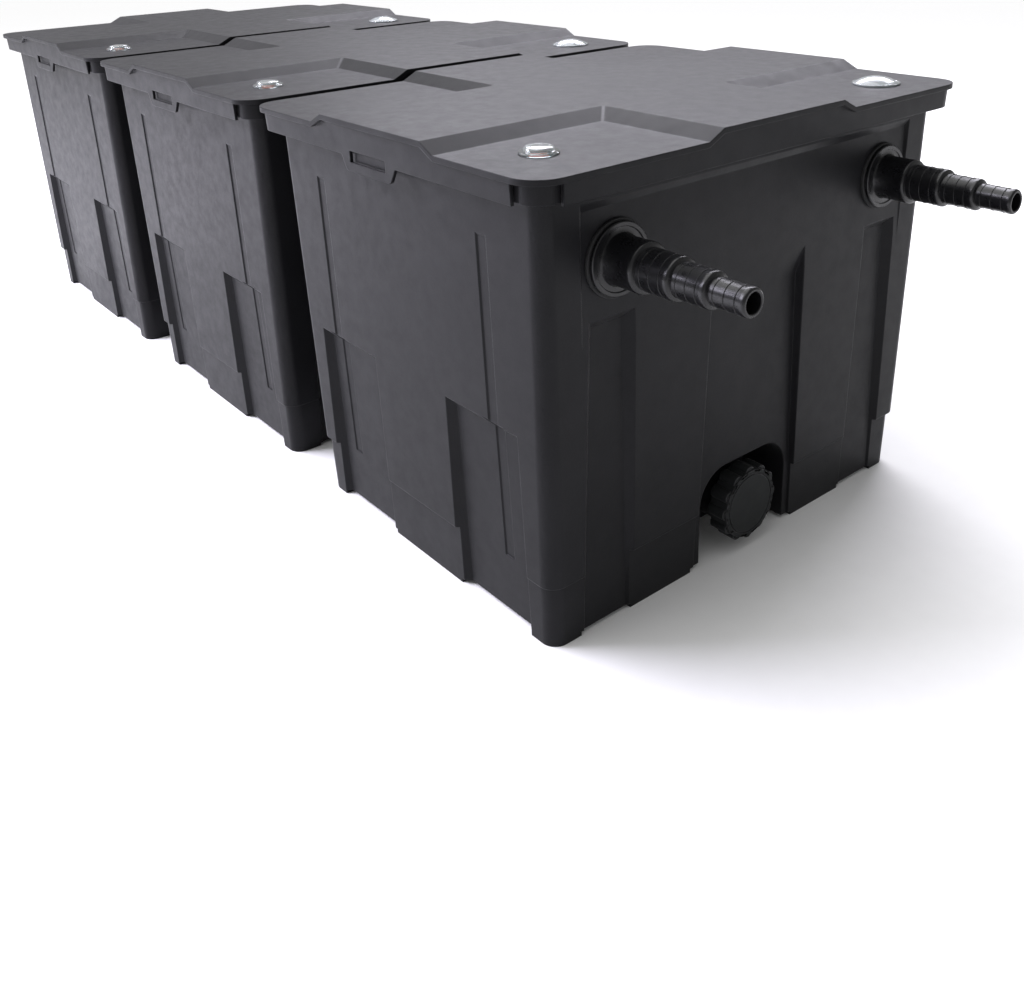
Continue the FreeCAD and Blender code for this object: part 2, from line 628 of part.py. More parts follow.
def foam_slab(n):
    """Foam slab n of the stack, counted from the shelf."""
    z = GRID_TOP + (n - 1) * FOAM_THICK
    return box(-GRID_HALF_X, GRID_HALF_X, -GRID_HALF_Y, GRID_HALF_Y, z, z + FOAM_THICK)


# ---- drain ----------------------------------------------------------------------
def drain_faces():
    """X of the cap's face, its inner face, the seal's back and the spout's end."""
    face = HALF_X - CAP_FACE_INSET
    inner = face - CAP_PLATE
    seal = inner - 0.1 - SEAL_THICK
    return face, inner, seal, seal - 0.1


def drain_spout():
    """Short threaded tube through the arch's rear wall, with a flange inside."""
    wall = HALF_X - ARCH_INSET - WALL
    back = wall - SPOUT_FLANGE
    end = drain_faces()[3]
    tube = rod(SPOUT_R, V(back, 0, DRAIN_Z), end - back)
    tube = tube.fuse(rod(SPOUT_FLANGE_R, V(back, 0, DRAIN_Z), SPOUT_FLANGE))
    bore = rod(SPOUT_BORE_R, V(back - 1, 0, DRAIN_Z), end)
    return tube.cut(bore).removeSplitter()


def drain_cap():
    """Screw cap with a lobed rim and a fine ring cut into its face."""
    face, inner, _, _ = drain_faces()
    back = face - CAP_LENGTH
    cap = rod(CAP_R, V(back, 0, DRAIN_Z), CAP_LENGTH)
    lobes = []
    for i in range(CAP_LOBES):
        a = 2 * math.pi * i / CAP_LOBES
        lobes.append(rod(LOBE_R, V(back, LOBE_CENTRE_R * math.cos(a),
                                   DRAIN_Z + LOBE_CENTRE_R * math.sin(a)),
                         CAP_LENGTH - LOBE_SHORT))
    low, high = FACE_RING
    groove = rod(high, V(face - FACE_RING_DEEP, 0, DRAIN_Z), 2 * FACE_RING_DEEP)
    groove = groove.cut(rod(low, V(face - 2 * FACE_RING_DEEP, 0, DRAIN_Z), 4 * FACE_RING_DEEP))
    hollow = rod(SPOUT_R + CLEAR, V(back - 1, 0, DRAIN_Z), inner - back + 1)
    return cap.fuse(lobes).cut([groove, hollow]).removeSplitter()


def drain_cap_seal():
    """Flat ring that the cap presses on the spout's end."""
    seal = drain_faces()[2]
    ring = rod(SPOUT_R - 0.5, V(seal, 0, DRAIN_Z), SEAL_THICK)
    return ring.cut(rod(SPOUT_BORE_R - 1.5, V(seal - 1, 0, DRAIN_Z), SEAL_THICK + 2))


# ---- pipe fittings ---------------------------------------------------------------
def hose_tail(steps, flange_r, thread_r, bore_r):
    """Stepped hose tail along +X with its flange's back face at zero."""
    outline = [(-TAIL_THREAD, bore_r), (-TAIL_THREAD, thread_r), (0, thread_r),
               (0, flange_r), (TAIL_FLANGE, flange_r)]
    at = TAIL_FLANGE
    along, across = STEP_CHAMFER
    for radius, length in steps:
        outline.append((at, radius))
        at += length
        outline.append((at - along, radius))
        outline.append((at, radius - across))
    outline.append((at, bore_r))
    return outline


def inlet_tail(sign):
    origin = V(HALF_X - POCKET_INSET + GASKET, sign * INLET_Y, PIPE_Z)
    outline = hose_tail(TAIL_STEPS, TAIL_FLANGE_R, TAIL_THREAD_R, TAIL_BORE_R)
    return turned(outline, origin, X_AXIS)


def outlet_tail():
    origin = V(-HALF_X + POCKET_INSET - GASKET, 0, PIPE_Z)
    outline = hose_tail(OUTLET_STEPS, OUTLET_FLANGE_R, OUTLET_THREAD_R, OUTLET_BORE_R)
    return turned(outline, origin, V(-1, 0, 0))


def ring_x(outer, inner, x0, x1, y):
    """Flat ring round a pipe at height PIPE_Z."""
    ring = rod(outer, V(x0, y, PIPE_Z), x1 - x0)
    return ring.cut(rod(inner, V(x0 - 1, y, PIPE_Z), x1 - x0 + 2))


def tail_gaskets():
    x = HALF_X - POCKET_INSET
    return [ring_x(GASKET_R, TAIL_THREAD_R + SLIP, x, x + GASKET, s * INLET_Y) for s in (-1, 1)]


def tail_nuts():
    x = HALF_X - POCKET_INSET - WALL
    nuts = []
    for sign in (-1, 1):
        bar = hexagon(TAIL_NUT_FLATS, x - NUT_LENGTH, x, sign * INLET_Y, PIPE_Z)
        nuts.append(bar.cut(rod(TAIL_THREAD_R + SLIP,
                                V(x - NUT_LENGTH - 1, sign * INLET_Y, PIPE_Z), NUT_LENGTH + 2)))
    return nuts


def outlet_gasket():
    x = -HALF_X + POCKET_INSET
    return ring_x(OUTLET_GASKET_R, OUTLET_THREAD_R + SLIP, x - GASKET, x, 0)


def outlet_nut():
    x = -HALF_X + POCKET_INSET + WALL
    bar = hexagon(OUTLET_NUT_FLATS, x, x + NUT_LENGTH, 0, PIPE_Z)
    return bar.cut(rod(OUTLET_THREAD_R + SLIP, V(x - 1, 0, PIPE_Z), NUT_LENGTH + 2))


def link_pipe():
    """Pipe between two tanks, centred on the gap."""
    half = (PITCH - LID_X) / 2 + POCKET_INSET + LINK_REACH
    return ring_x(LINK_R, LINK_R - LINK_WALL, -half, half, 0)


def link_seals():
    """Grommets round the pipe in both tank walls."""
    wall = (PITCH - LID_X) / 2 + POCKET_INSET
    inner = wall + WALL + 2 * SLIP
    seals = []
    for sign in (-1, 1):
        spans = [(wall - GASKET, wall, SEAL_FLANGE), (wall, inner, SEAL_NECK),
                 (inner, inner + GASKET, SEAL_FLANGE)]
        rings = []
        for near, far, thick in spans:
            x0, x1 = sorted((sign * near, sign * far))
            rings.append(ring_x(LINK_R + thick, LINK_R + SLIP, x0, x1, 0))
        seals.append(rings[0].fuse(rings[1:]).removeSplitter())
    return seals


# ---- write every node --------------------------------------------------------------
def main():
    os.makedirs("parts", exist_ok=True)
    blank = tank_blank()
    shared = {"lid": lid(), "indicator_float": indicator_float(),
              "window": dome(WINDOW_STEM_R, WINDOW_FLANGE_R, FLANGE, WINDOW_RISE, *WINDOW_AT),
              "indicator_cover": indicator_cover(), "dome_nuts": dome_nuts(),
              "front_baffle": baffle(GUIDE_X, UNDERFLOW, OVERFLOW + SPLASH),
              "rear_baffle": rear_baffle(), "foam_grid": foam_grid(),
              "drain_spout": drain_spout(), "drain_cap": drain_cap(),
              "drain_cap_seal": drain_cap_seal()}
    for n in FOAM_SLABS:
        shared["foam_slab_" + "abcd"[n - 1]] = foam_slab(n)
    for k in MODULES:
        dx = centre_x(k)
        save("tank_%d" % k, tank(k, blank), dx)
        for name, shape in shared.items():
            save("%s_%d" % (name, k), shape, dx)
    first, last = centre_x(MODULES[0]), centre_x(MODULES[-1])
    save("hose_tail_left", inlet_tail(-1), first)
    save("hose_tail_right", inlet_tail(1), first)
    save("tail_gaskets", tail_gaskets(), first)
    save("tail_nuts", tail_nuts(), first)
    save("outlet_tail", outlet_tail(), last)
    save("outlet_gasket", outlet_gasket(), last)
    save("outlet_nut", outlet_nut(), last)
    for k in MODULES[:-1]:
        middle = (centre_x(k) + centre_x(k + 1)) / 2
        save("link_pipe_%d%d" % (k, k + 1), link_pipe(), middle)
        save("link_seals_%d%d" % (k, k + 1), link_seals(), middle)


main()
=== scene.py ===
import bmesh
import bpy
import math
from mathutils import Matrix, Vector


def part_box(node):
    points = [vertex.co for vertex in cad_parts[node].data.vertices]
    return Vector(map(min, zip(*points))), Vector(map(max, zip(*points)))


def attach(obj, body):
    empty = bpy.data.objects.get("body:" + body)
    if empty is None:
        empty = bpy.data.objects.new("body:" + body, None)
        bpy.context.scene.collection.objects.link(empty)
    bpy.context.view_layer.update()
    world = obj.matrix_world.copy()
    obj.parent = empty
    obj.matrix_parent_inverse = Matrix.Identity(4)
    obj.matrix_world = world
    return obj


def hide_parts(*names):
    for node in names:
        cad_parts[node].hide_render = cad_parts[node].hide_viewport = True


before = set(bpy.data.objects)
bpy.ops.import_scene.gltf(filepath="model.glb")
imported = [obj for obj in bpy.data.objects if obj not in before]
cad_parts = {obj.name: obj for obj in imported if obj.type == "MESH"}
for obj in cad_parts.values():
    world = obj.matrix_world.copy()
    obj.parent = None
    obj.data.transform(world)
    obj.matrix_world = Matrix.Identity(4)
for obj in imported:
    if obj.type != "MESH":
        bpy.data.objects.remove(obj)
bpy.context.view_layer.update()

MM = 0.001
MODULES = (1, 2, 3)

# ---- sizes of what is made here, in millimetres ------------------------------------
TANK_EDGE = 1.8            # moulded roundings
LID_EDGE = 1.6
SMALL_EDGE = 0.7
CAP_EDGE = 0.9
SEAL_EDGE = 0.5
CREASE = 20.0              # degrees; facets of curved walls meet at less than this
TURNED_CREASE = 32.0       # degrees, along the outline of a turned piece
LID_SKIN = 3.0
DOME_SKIN = 1.6            # wall of the clear domes
DOME_FLANGE = 2.2          # its thickness
WINDOW_FLANGE = 3.0        # width beyond the window's stem
LENS_STEPS_OUT, LENS_STEPS_IN = 14, 12
COVER_FLANGE = 4.1
COVER_STOP = 2.0           # ring in the cover's stem, round the stem of the float
COVER_HOLE_R = 3.5
SPOUT_FLANGE = 7.0         # width beyond the spout's tube
SPOUT_FLANGE_THICK = 4.0
SPOUT_WALL = 5.0
SPOUT_THREAD = 15.0        # threaded length
THREAD_DEPTH = 0.8
THREAD_PITCH = 4.0
TAIL_THREAD = 20.0         # length that goes through the tank's wall
TAIL_FLANGE = 5.0
TAIL_STEPS = ((21.0, 30.0), (17.5, 34.0), (14.5, 33.0), (11.25, 34.0))  # radius, length
TAIL_THREAD_R = 20.5
TAIL_BORE_R = 8.2
OUTLET_STEPS = ((30.0, 45.0), (25.0, 45.0))
OUTLET_THREAD_R = 28.5
OUTLET_BORE_R = 21.5
STEP_SWELL = 0.35          # raised shoulder at the end of a step
SHOULDER_R = 2.2
RIDGE_RADIUS = 0.35        # raised rings on the hose tails
FOAM_EDGE = 6.0
FOAM_CUTS = 11             # grid of a foam face
GRAIN = 1.4                # about 0.3 on a real moulding, too fine for any view
FOAM_CELL = 3.5            # about 1.3 in foam of 20 cells an inch, drawn larger to show

FLOOR_HALF = 15.0          # metres

# ---- the view -----------------------------------------------------------------------
IMAGE_WIDTH, IMAGE_HEIGHT = 1024, 983
FOCAL = 1087.5             # in units of one image column
CENTRE_COLUMN, CENTRE_ROW = 528.7, 232.3
HEADING = math.radians(141.22)
DOWNWARD = math.radians(17.35)
ROLL = math.radians(1.83)
EYE_FROM_LID_EDGE = Vector((567.0, -741.4, 619.8)) * MM
SENSOR = 36.0
NEAREST, FARTHEST = 0.02, 100.0


def camera():
    """Eye and lens, placed from the front edge of the first lid."""
    forward = Vector((math.cos(DOWNWARD) * math.cos(HEADING),
                      math.cos(DOWNWARD) * math.sin(HEADING), -math.sin(DOWNWARD)))
    level = forward.cross(Vector((0, 0, 1))).normalized()
    below = forward.cross(level)
    right = math.cos(ROLL) * level + math.sin(ROLL) * below
    down = math.cos(ROLL) * below - math.sin(ROLL) * level
    data = bpy.data.cameras.new("camera")
    data.sensor_width = SENSOR
    data.lens = FOCAL / IMAGE_WIDTH * SENSOR
    data.shift_x = (IMAGE_WIDTH / 2 - CENTRE_COLUMN) / IMAGE_WIDTH
    data.shift_y = (CENTRE_ROW - IMAGE_HEIGHT / 2) / IMAGE_WIDTH
    data.clip_start, data.clip_end = NEAREST, FARTHEST
    eye = bpy.data.objects.new("camera", data)
    bpy.context.scene.collection.objects.link(eye)
    turn = Matrix((right, -down, -forward)).transposed().to_4x4()
    lid_edge = Vector((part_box("lid_1")[1][0], 0, 0))
    eye.matrix_world = Matrix.Translation(lid_edge + EYE_FROM_LID_EDGE) @ turn
    bpy.context.scene.camera = eye


# ---- small tools --------------------------------------------------------------------
def colour(code):
    """sRGB hex to the linear colour that a shader takes."""
    parts = [int(code[i:i + 2], 16) / 255 for i in (1, 3, 5)]
    return tuple(c / 12.92 if c <= 0.04045 else ((c + 0.055) / 1.055) ** 2.4
                 for c in parts) + (1.0,)


def add(tree, kind, inputs=None, **settings):
    """Adds a node with its settings, and its inputs as values or links."""
    node = tree.nodes.new(kind)
    for name, value in settings.items():
        setattr(node, name, value)
    for name, value in (inputs or {}).items():
        if isinstance(value, bpy.types.NodeSocket):
            tree.links.new(value, node.inputs[name])
        else:
            node.inputs[name].default_value = value
    return node


def per_mm(size):
    """Texture scale at which one feature is about size millimetres."""
    return 1.0 / (size * MM)


def link_object(name, mesh, material=None):
    """New object in the scene, with the material if one is given."""
    obj = bpy.data.objects.new(name, mesh)
    bpy.context.scene.collection.objects.link(obj)
    if material:
        mesh.materials.clear()
        mesh.materials.append(material)
    return obj


def sharpen(bm, angle):
    """Smooth faces, with edges over the angle kept crisp."""
    for face in bm.faces:
        face.smooth = True
    for edge in bm.edges:
        edge.smooth = not (len(edge.link_faces) == 2 and edge.calc_face_angle(0) > angle)


# ---- materials ----------------------------------------------------------------------
def shader(name, base, roughness, **inputs):
    """New material with its principled shader; returns the material, tree and shader."""
    material = bpy.data.materials.new(name)
    material.use_nodes = True
    tree = material.node_tree
    tree.nodes.clear()
    values = {"Base Color": colour(base), "Roughness": roughness}
    values.update({key.replace("_", " "): value for key, value in inputs.items()})
    principled = add(tree, "ShaderNodeBsdfPrincipled", values)
    add(tree, "ShaderNodeOutputMaterial", {"Surface": principled.outputs["BSDF"]})
    return material, tree, principled


def object_noise(tree, size, detail=2.0, roughness=0.5):
    """Noise whose features are about size millimetres, in the piece's own space."""
    place = add(tree, "ShaderNodeTexCoord").outputs["Object"]
    return add(tree, "ShaderNodeTexNoise", {"Vector": place, "Scale": per_mm(size),
                                            "Detail": detail,
                                            "Roughness": roughness}).outputs["Fac"]


def between(tree, factor, low, high, start=0.3, end=0.7):
    """Maps a factor from start..end onto low..high."""
    return add(tree, "ShaderNodeMapRange", {"Value": factor, "From Min": start, "From Max": end,
                                            "To Min": low, "To Max": high}).outputs["Result"]


def mixed(tree, factor, first, second):
    """Blend of two hex colours by a factor."""
    node = add(tree, "ShaderNodeMix", {"Factor": factor}, data_type="RGBA")
    node.inputs[6].default_value = colour(first)
    node.inputs[7].default_value = colour(second)
    return node.outputs[2]


def bump(tree, height, depth, strength, below=None):
    """Relief of the given depth in millimetres."""
    inputs = {"Height": height, "Distance": depth * MM, "Strength": strength}
    if below:
        inputs["Normal"] = below
    return add(tree, "ShaderNodeBump", inputs).outputs["Normal"]


def moulded_polypropylene(name, dark, light, low_rough, high_rough, rounding=0.0):
    """Injection-moulded polypropylene, carbon black, from a spark-eroded mould: an even
    fine grain that scatters highlights into a broad sheen, with faint flow clouds. A
    rounding, in millimetres, softens the shading of edges that are not rounded in the mesh."""
    material, tree, principled = shader(name, dark, low_rough, IOR=1.49,
                                        Specular_IOR_Level=0.12, Sheen_Weight=0.065,
                                        Sheen_Roughness=0.35)
    grain = object_noise(tree, GRAIN, detail=3.0, roughness=0.6)
    clouds = object_noise(tree, 70.0, detail=2.0)
    scuffs = object_noise(tree, 16.0, detail=4.0, roughness=0.65)
    tone = add(tree, "ShaderNodeMath", {0: between(tree, grain, 0.0, 0.55),
                                        1: between(tree, clouds, 0.0, 0.45)}, operation="ADD")
    tree.links.new(mixed(tree, tone.outputs[0], dark, light), principled.inputs["Base Color"])
    tree.links.new(between(tree, scuffs, low_rough, high_rough, 0.35, 0.75),
                   principled.inputs["Roughness"])
    soft = None
    if rounding:
        soft = add(tree, "ShaderNodeBevel", {"Radius": rounding * MM},
                   samples=6).outputs["Normal"]
    tree.links.new(bump(tree, grain, 0.10, 0.55, soft), principled.inputs["Normal"])
    return material


def rubbed_edge_painted_highlight(name, base):
    """The same polypropylene where moulded edges are rubbed by handling: the grain is worn nearly
    flat, so edges catch a tighter line of light, and the base colour is slightly lighter as a
    painted highlight along every edge."""
    # Base colour lighter than the tank's: a painted highlight along the roundings.
    material, tree, principled = shader(name, base, 0.42, IOR=1.49, Specular_IOR_Level=0.35)
    wear = object_noise(tree, 6.0, detail=3.0)
    tree.links.new(between(tree, wear, 0.36, 0.52), principled.inputs["Roughness"])
    tree.links.new(bump(tree, object_noise(tree, GRAIN, detail=2.0), 0.05, 0.3),
                   principled.inputs["Normal"])
    return material


def polished_abs(name, base):
    """Injection-moulded ABS from a polished mould: glossy black, dulled a little by dust."""
    material, tree, principled = shader(name, base, 0.3, IOR=1.53, Specular_IOR_Level=0.35)
    dust = object_noise(tree, 8.0, detail=4.0, roughness=0.6)
    tree.links.new(between(tree, dust, 0.26, 0.36, 0.35, 0.75), principled.inputs["Roughness"])
    tree.links.new(bump(tree, dust, 0.03, 0.2), principled.inputs["Normal"])
    return material


def clear_acrylic(name, tint, clearness, roughness):
    """Injection-moulded acrylic: water-clear skin over a slightly milky body, so it gathers
    the bright surroundings and shows what is behind it only faintly."""
    material, tree, principled = shader(name, tint, roughness, IOR=1.49,
                                        Transmission_Weight=clearness, Coat_Weight=0.2,
                                        Coat_Roughness=0.04)
    swirl = object_noise(tree, 11.0, detail=1.0)
    tree.links.new(bump(tree, swirl, 0.06, 0.25), principled.inputs["Normal"])
    return material


def dyed_abs(name, dark, light):
    """Bright dyed ABS, satin from handling."""
    material, tree, principled = shader(name, dark, 0.35, IOR=1.53)
    tone = object_noise(tree, 5.0, detail=3.0)
    tree.links.new(mixed(tree, tone, dark, light), principled.inputs["Base Color"])
    tree.links.new(between(tree, tone, 0.28, 0.42), principled.inputs["Roughness"])
    return material


def moulded_rubber(name, base):
    """Compression-moulded EPDM: dull, slightly bloomed black."""
    material, tree, principled = shader(name, base, 0.82, IOR=1.50)
    bloom = object_noise(tree, 7.0, detail=4.0, roughness=0.7)
    tree.links.new(mixed(tree, between(tree, bloom, 0.0, 0.6), base, "#262627"),
                   principled.inputs["Base Color"])
    tree.links.new(bump(tree, object_noise(tree, 1.1, detail=3.0), 0.08, 0.4),
                   principled.inputs["Normal"])
    return material


def open_cell_foam(name, dark, light):
    """Reticulated polyurethane foam: a web of thin struts round open cells, so light is lost
    between the struts and the surface looks speckled and soft."""
    material, tree, principled = shader(name, dark, 0.9, IOR=1.45, Sheen_Weight=0.25)
    place = add(tree, "ShaderNodeTexCoord").outputs["Object"]
    cells = add(tree, "ShaderNodeTexVoronoi", {"Vector": place, "Scale": per_mm(FOAM_CELL)},
                feature="DISTANCE_TO_EDGE").outputs["Distance"]
    # Cell hollows take the dark colour as painted shade and the struts the light one; the same
    # map drives the bump.
    depth = between(tree, cells, 1.0, 0.0, 0.02, 0.35)
    tree.links.new(mixed(tree, depth, dark, light), principled.inputs["Base Color"])
    tree.links.new(bump(tree, depth, 1.2, 0.9), principled.inputs["Normal"])
    return material


def studio_floor(name):
    """Seamless matt paper roll, almost white."""
    material, tree, principled = shader(name, "#f4f4f4", 0.85)
    fibres = object_noise(tree, 25.0, detail=4.0)
    tree.links.new(mixed(tree, fibres, "#f1f1f1", "#f6f6f6"), principled.inputs["Base Color"])
    return material


LID_POLYPROPYLENE = moulded_polypropylene("moulded_polypropylene_lid", "#151517", "#1d1d1f",
                                          0.38, 0.50, LID_EDGE)
TANK_POLYPROPYLENE = moulded_polypropylene("moulded_polypropylene_tank", "#151517", "#1d1d1f",
                                           0.38, 0.50, TANK_EDGE)
# Edge roundings: worn grain plus a lighter base colour as a painted highlight.
POLYPROPYLENE_EDGE_PAINTED_HIGHLIGHT = rubbed_edge_painted_highlight("rubbed_polypropylene_edge_painted_highlight", "#1e1e20")
INNER_PLASTIC = moulded_polypropylene("moulded_polypropylene_fittings", "#151517", "#1c1c1e",
                                      0.45, 0.6)
CAP_PLASTIC = moulded_polypropylene("moulded_polypropylene_cap", "#1e1f20", "#262828", 0.46, 0.58)
HOSE_TAIL_ABS = polished_abs("polished_abs_black", "#111113")
WINDOW_ACRYLIC = clear_acrylic("clear_acrylic_window", "#d5dbdc", 0.7, 0.12)
COVER_ACRYLIC = clear_acrylic("clear_acrylic_cover", "#e6ecec", 0.88, 0.05)
FLOAT_ABS = dyed_abs("dyed_abs_orange", "#d9501a", "#ec6a28")
SEAL_RUBBER = moulded_rubber("moulded_epdm_rubber", "#151516")
FOAM_BLUE = open_cell_foam("reticulated_foam_blue", "#16355c", "#3f74b0")
FOAM_GREEN = open_cell_foam("reticulated_foam_green", "#1f4630", "#4f8f5e")
FLOOR_PAPER = studio_floor("seamless_paper")


# ---- pieces carried over from the design, with moulded roundings --------------------
def weigh_creases(bm, width):
    """Bevel weight of every crease: full where there is room, less beside short edges."""
    weight = bm.edges.layers.float.new("bevel_weight_edge")
    creases = {edge for edge in bm.edges if len(edge.link_faces) == 2
               and edge.calc_face_angle(0) > math.radians(CREASE)}
    for edge in creases:
        room = width
        for end in edge.verts:
            along = (edge.other_vert(end).co - end.co).normalized()
            for other in end.link_edges:
                away = other.other_vert(end).co - end.co
                runs_on = other in creases and along.dot(away.normalized()) < -0.8
                if other != edge and not runs_on:
                    room = min(room, 0.4 * away.length)
        edge[weight] = room / width


def smooth_copy(node, material, edge_mm=0.0):
    """Copy of a design node, smooth but for its creases; with edge_mm the creases are
    weighed for a rounding."""
    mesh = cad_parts[node].data.copy()
    bm = bmesh.new()
    bm.from_mesh(mesh)
    bmesh.ops.remove_doubles(bm, verts=bm.verts, dist=0.01 * MM)
    bmesh.ops.dissolve_limit(bm, angle_limit=math.radians(0.6), verts=bm.verts, edges=bm.edges,
                             delimit=set())
    sharpen(bm, math.radians(CREASE))
    if edge_mm:
        bmesh.ops.triangulate(bm, faces=bm.faces)
        weigh_creases(bm, edge_mm * MM)
    bm.to_mesh(mesh)
    bm.free()
    return link_object(node + "_moulded", mesh, material)


def flatten_fields(piece):
    """Keeps flat fields evenly shaded up to the curves beside them."""
    fields = piece.modifiers.new("flat_fields", "WEIGHTED_NORMAL")
    fields.keep_sharp = True


def rounded_copy(node, material, edge_material, edge_mm, segments=2):
    """Copy of a design node whose creases get a moulded rounding."""
    piece = smooth_copy(node, material, edge_mm)
    piece.data.materials.append(edge_material)
    round_off = piece.modifiers.new("moulded_rounding", "BEVEL")
    round_off.width = edge_mm * MM
    round_off.segments = segments
    round_off.limit_method = "WEIGHT"
    round_off.harden_normals = True
    round_off.material = 1
    round_off.use_clamp_overlap = False
    return piece


def carry_over(node, body, material, edge_material, edge_mm, segments=2):
    """Shows a design node with roundings and a finish, riding on its body."""
    piece = rounded_copy(node, material, edge_material, edge_mm, segments)
    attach(piece, body)
    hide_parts(node)


# ---- turned pieces ------------------------------------------------------------------
def turned(name, outline, origin, axis, material, sides=96):
    """Closed solid of revolution; outline holds (distance along the axis, radius) in mm."""
    bm = bmesh.new()
    turn = Vector((0, 0, 1)).rotation_difference(Vector(axis)).to_matrix()
    rings = []
    for along, radius in outline:
        if radius == 0:
            rings.append([bm.verts.new(origin + turn @ Vector((0, 0, along * MM)))])
            continue
        ring = []
        for i in range(sides):
            a = 2 * math.pi * i / sides
            point = Vector((radius * math.cos(a), radius * math.sin(a), along)) * MM
            ring.append(bm.verts.new(origin + turn @ point))
        rings.append(ring)
    closed = outline[0][1] > 0 and outline[-1][1] > 0
    pairs = list(zip(rings, rings[1:])) + ([(rings[-1], rings[0])] if closed else [])
    for first, second in pairs:
        for i in range(sides):
            j = (i + 1) % sides
            corners = [first[i % len(first)], first[j % len(first)],
                       second[j % len(second)], second[i % len(second)]]
            unique = list(dict.fromkeys(corners))
            if len(unique) > 2:
                bm.faces.new(unique)
    bmesh.ops.recalc_face_normals(bm, faces=bm.faces)
    sharpen(bm, math.radians(TURNED_CREASE))
    mesh = bpy.data.meshes.new(name)
    bm.to_mesh(mesh)
    bm.free()
    return link_object(name, mesh, material)


def arc(centre_along, centre_radius, size, start, end, steps=6):
    """Outline points on an arc, angles in degrees from the axis direction."""
    points = []
    for i in range(steps + 1):
        a = math.radians(start + (end - start) * i / steps)
        points.append((centre_along + size * math.cos(a), centre_radius + size * math.sin(a)))
    return points


def half_width(node, axis):
    """Half a design node's size along an axis, in millimetres."""
    low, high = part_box(node)
    return (high[axis] - low[axis]) / 2 / MM


def middle(node):
    """Centre of a design node's box, in metres."""
    low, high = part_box(node)
    return (Vector(low) + Vector(high)) / 2


# ---- things that repeat, made with geometry nodes -----------------------------------
def geometry_tree(name, inputs):
    """Empty geometry tree with named inputs, {name: socket kind}, that grow() sets."""
    tree = bpy.data.node_groups.new(name, "GeometryNodeTree")
    tree.interface.new_socket("Geometry", in_out="OUTPUT", socket_type="NodeSocketGeometry")
    for label, kind in inputs.items():
        tree.interface.new_socket(label, in_out="INPUT", socket_type=kind)
    return tree, add(tree, "NodeGroupInput").outputs


def finish_tree(tree, geometry, material):
    """Realises the instances, gives them their material and ends the tree."""
    real = add(tree, "GeometryNodeRealizeInstances", {"Geometry": geometry})
    painted = add(tree, "GeometryNodeSetMaterial", {"Geometry": real.outputs["Geometry"],
                                                    "Material": material})
    add(tree, "NodeGroupOutput", {"Geometry": painted.outputs["Geometry"]})


def grow(name, tree, values):
    """Runs a geometry tree with these input values and returns the result as plain mesh."""
    seed = link_object(name + "_seed", bpy.data.meshes.new(name + "_seed"))
    modifier = seed.modifiers.new("grow", "NODES")
    modifier.node_group = tree
    sockets = {item.name: item.identifier for item in tree.interface.items_tree
               if item.in_out == "INPUT"}
    for label, value in values.items():
        modifier[sockets[label]] = value
    graph = bpy.context.evaluated_depsgraph_get()
    mesh = bpy.data.meshes.new_from_object(seed.evaluated_get(graph))
    mesh.name = name
    bpy.data.objects.remove(seed)
    for polygon in mesh.polygons:
        polygon.use_smooth = True
    return link_object(name, mesh)


def ridge_tree():
    """Rings of round section in a row along X, one for each point of a line."""
    tree, given = geometry_tree("hose_ridges", {
        "Start": "NodeSocketVector", "Count": "NodeSocketInt", "Spacing": "NodeSocketFloat",
        "Radius": "NodeSocketFloat", "Ridge": "NodeSocketFloat"})
    step = add(tree, "ShaderNodeCombineXYZ", {"X": given["Spacing"]})
    line = add(tree, "GeometryNodeMeshLine", {"Count": given["Count"],
                                              "Start Location": given["Start"],
                                              "Offset": step.outputs["Vector"]})
    ring = add(tree, "GeometryNodeCurvePrimitiveCircle", {"Resolution": 96,
                                                          "Radius": given["Radius"]})
    section = add(tree, "GeometryNodeCurvePrimitiveCircle", {"Resolution": 8,
                                                             "Radius": given["Ridge"]})
    hoop = add(tree, "GeometryNodeCurveToMesh", {"Curve": ring.outputs["Curve"],
                                                 "Profile Curve": section.outputs["Curve"]})
    upright = add(tree, "GeometryNodeTransform", {"Geometry": hoop.outputs["Mesh"],
                                                  "Rotation": (0, math.pi / 2, 0)})
    rings = add(tree, "GeometryNodeInstanceOnPoints", {"Points": line.outputs["Mesh"],
                                                       "Instance": upright.outputs["Geometry"]})
    finish_tree(tree, rings.outputs["Instances"], HOSE_TAIL_ABS)
    return tree


def thread_tree():
    """Screw thread: a small ridge swept along a spiral round the X axis."""
    tree, given = geometry_tree("screw_thread", {
        "Start": "NodeSocketVector", "Radius": "NodeSocketFloat", "Turns": "NodeSocketFloat",
        "Length": "NodeSocketFloat", "Depth": "NodeSocketFloat"})
    spiral = add(tree, "GeometryNodeCurveSpiral", {
        "Resolution": 64, "Rotations": given["Turns"], "Start Radius": given["Radius"],
        "End Radius": given["Radius"], "Height": given["Length"]})
    section = add(tree, "GeometryNodeCurvePrimitiveCircle", {"Resolution": 6,
                                                             "Radius": given["Depth"]})
    ridge = add(tree, "GeometryNodeCurveToMesh", {"Curve": spiral.outputs["Curve"],
                                                  "Profile Curve": section.outputs["Curve"],
                                                  "Fill Caps": True})
    placed = add(tree, "GeometryNodeTransform", {"Geometry": ridge.outputs["Mesh"],
                                                 "Rotation": (0, math.pi / 2, 0),
                                                 "Translation": given["Start"]})
    finish_tree(tree, placed.outputs["Geometry"], INNER_PLASTIC)
    return tree


